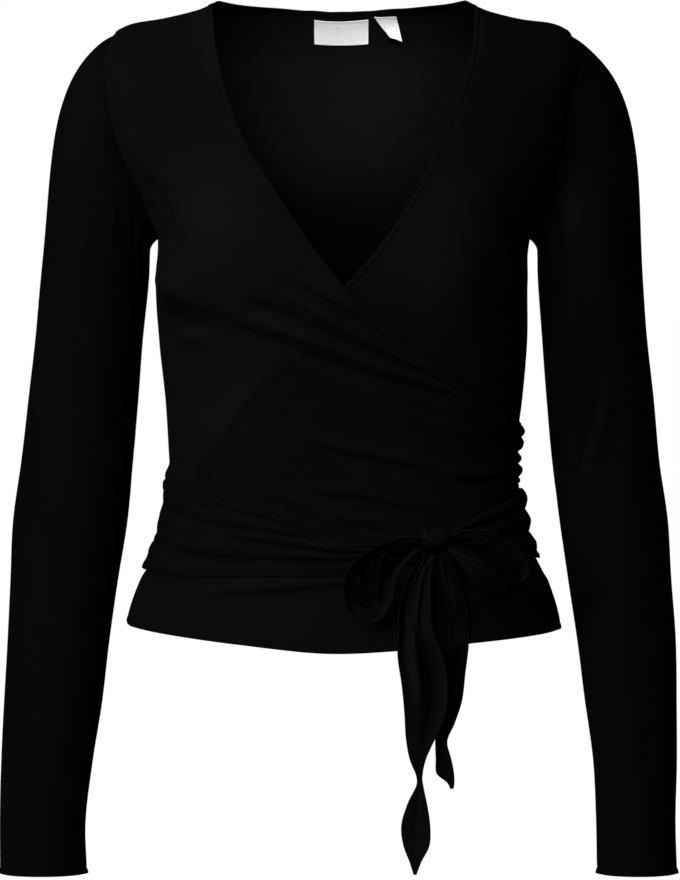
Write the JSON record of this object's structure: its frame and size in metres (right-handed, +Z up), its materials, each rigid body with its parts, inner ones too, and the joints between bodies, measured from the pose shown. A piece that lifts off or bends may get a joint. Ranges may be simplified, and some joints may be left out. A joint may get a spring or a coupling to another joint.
{
  "type": "wrap top",
  "caption": "Long-sleeved cropped wrap top in black jersey, its crossed fronts held by ties wound round the waist and tied in a bow at the side.",
  "frame": {"origin": "midway between the two points where the neck edge meets the shoulder seams, where the wearer's shoulders carry the top", "axes": "+Z up along the body, the front faces -Y, +X towards the side on the viewer's right (the wearer's left)"},
  "size_m": [0.5072, 0.2278, 0.652],
  "materials": {
    "jersey": "fine matt knitted jersey",
    "tie_jersey": "fine matt knitted jersey, gathered",
    "label": "smooth white woven ribbon, bare"
  },
  "bodies": {
    "root": {"back": "jersey", "front_under": "jersey", "front_outer": "jersey", "sleeve_left": "jersey", "sleeve_right": "jersey", "tie_across_front": "tie_jersey", "tie_round_back": "tie_jersey", "under_tie_back": "tie_jersey", "under_tie_front": "tie_jersey", "bow_knot": "tie_jersey", "loop_left": "tie_jersey", "loop_right": "tie_jersey", "tail_left": "tie_jersey", "tail_right": "tie_jersey", "neck_label": "label", "care_tag": "label"}
  },
  "joints": []
}
